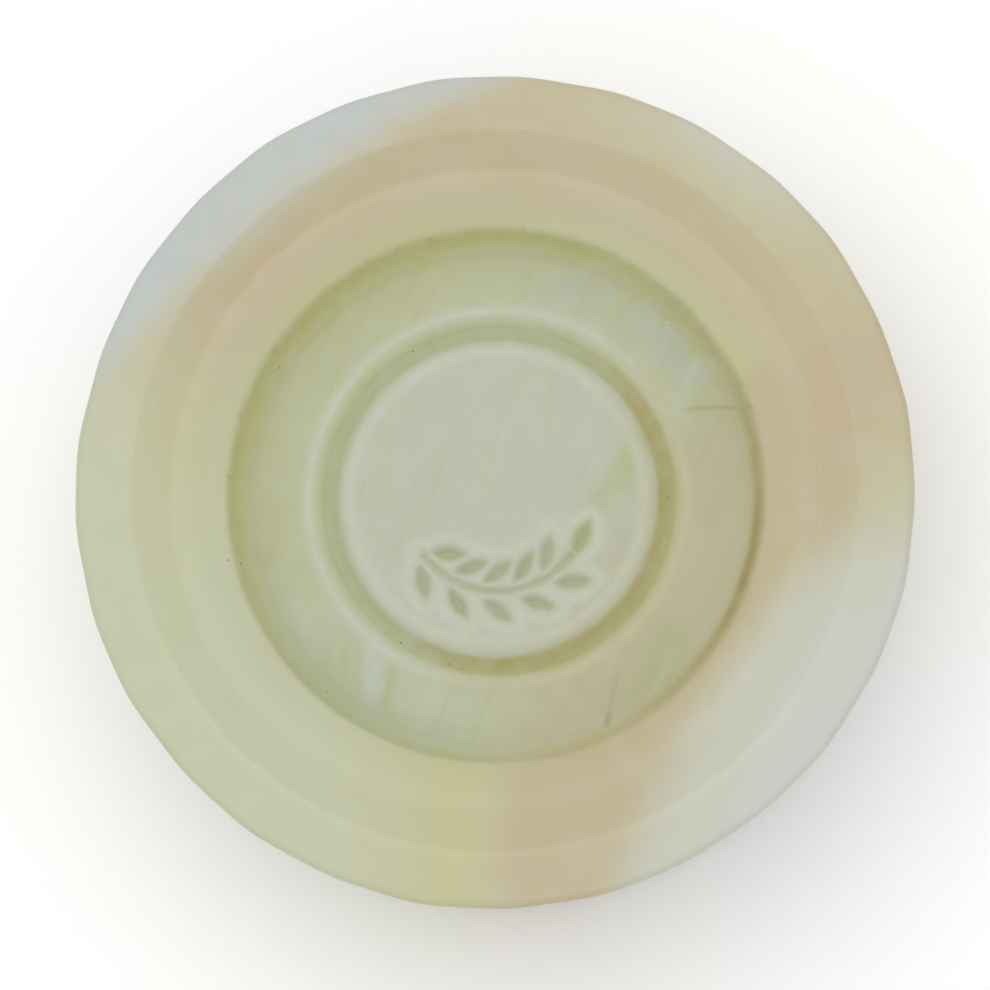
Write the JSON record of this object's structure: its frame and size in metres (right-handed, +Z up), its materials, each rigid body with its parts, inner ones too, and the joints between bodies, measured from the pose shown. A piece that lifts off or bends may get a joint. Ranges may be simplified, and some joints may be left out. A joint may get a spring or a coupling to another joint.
{
  "type": "shaving soap puck",
  "caption": "Round marbled shaving soap puck with a stepped, dished top and a stamped ring and leaf sprig on the dish floor.",
  "frame": {"origin": "centre of the flat underside", "axes": "+Z up out of the dish, +Y towards the top of the stamped mark, +X to its right"},
  "size_m": [0.0758, 0.0758, 0.027],
  "materials": {
    "soap_cream": "satin, slightly translucent hard soap, cream with a yellow-green cast",
    "soap_tan": "satin, slightly translucent hard soap, peach tan",
    "soap_white": "satin, slightly translucent hard soap, bluish white",
    "soap_sage": "satin, slightly translucent hard soap, grey green",
    "soap_grey": "satin, slightly translucent hard soap, blue grey"
  },
  "bodies": {
    "root": {"cream_rim_pour": "soap_cream", "tan_swirl_upper_left": "soap_tan", "white_swirl_upper_left": "soap_white", "white_swirl_upper_right": "soap_white", "tan_swirl_lower_right": "soap_tan", "white_swirl_lower_right": "soap_white", "sage_floor_pour": "soap_sage", "tan_floor_swirl": "soap_tan", "grey_floor_swirl": "soap_grey"}
  },
  "joints": []
}
